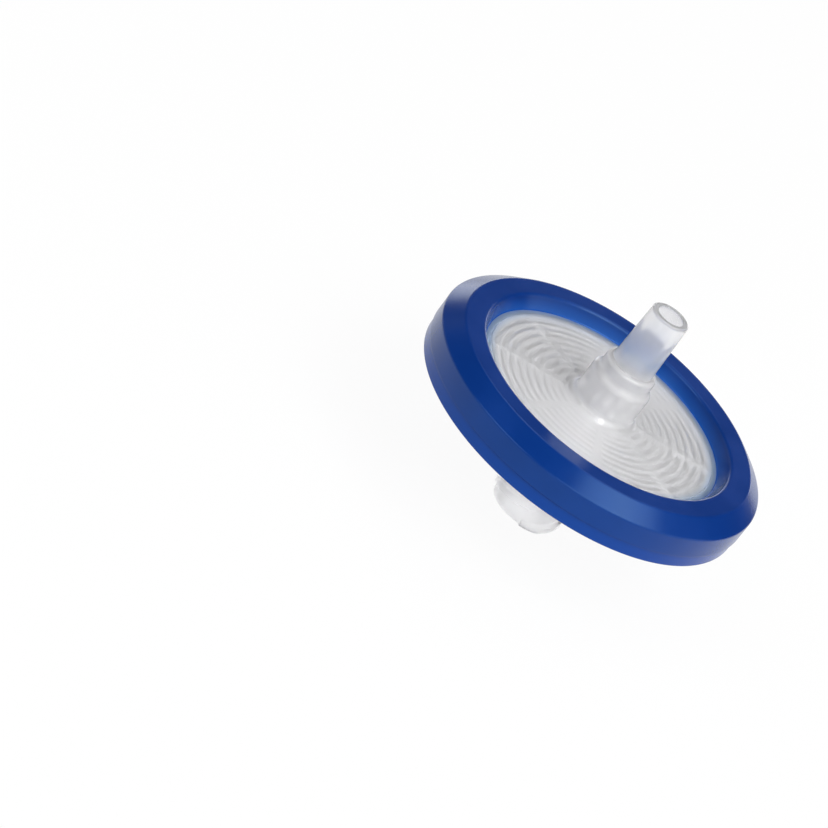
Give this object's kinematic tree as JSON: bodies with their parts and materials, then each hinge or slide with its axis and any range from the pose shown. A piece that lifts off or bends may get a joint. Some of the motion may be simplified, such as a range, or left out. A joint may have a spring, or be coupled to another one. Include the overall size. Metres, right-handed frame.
{
  "type": "syringe filter",
  "caption": "Round disposable syringe filter: blue moulded ring on two clear housing halves, female luer-lock inlet, male luer slip outlet.",
  "frame": {"origin": "centre of the inlet rim, the plane the filter stands on", "axes": "+Z along the flow, from the luer-lock inlet up to the slip tip; the part is round about Z apart from the thread and the ribs, and a drainage channel lies 15 degrees from +X towards +Y"},
  "size_m": [0.036, 0.036, 0.0257],
  "materials": {
    "blue_polypropylene": "satin-gloss moulded royal blue",
    "clear_polypropylene": "natural polypropylene, translucent and slightly milky",
    "membrane": "matte white filter membrane"
  },
  "bodies": {
    "root": {"ring": "blue_polypropylene", "inlet_housing": "clear_polypropylene", "outlet_housing": "clear_polypropylene", "membrane": "membrane"}
  },
  "joints": []
}
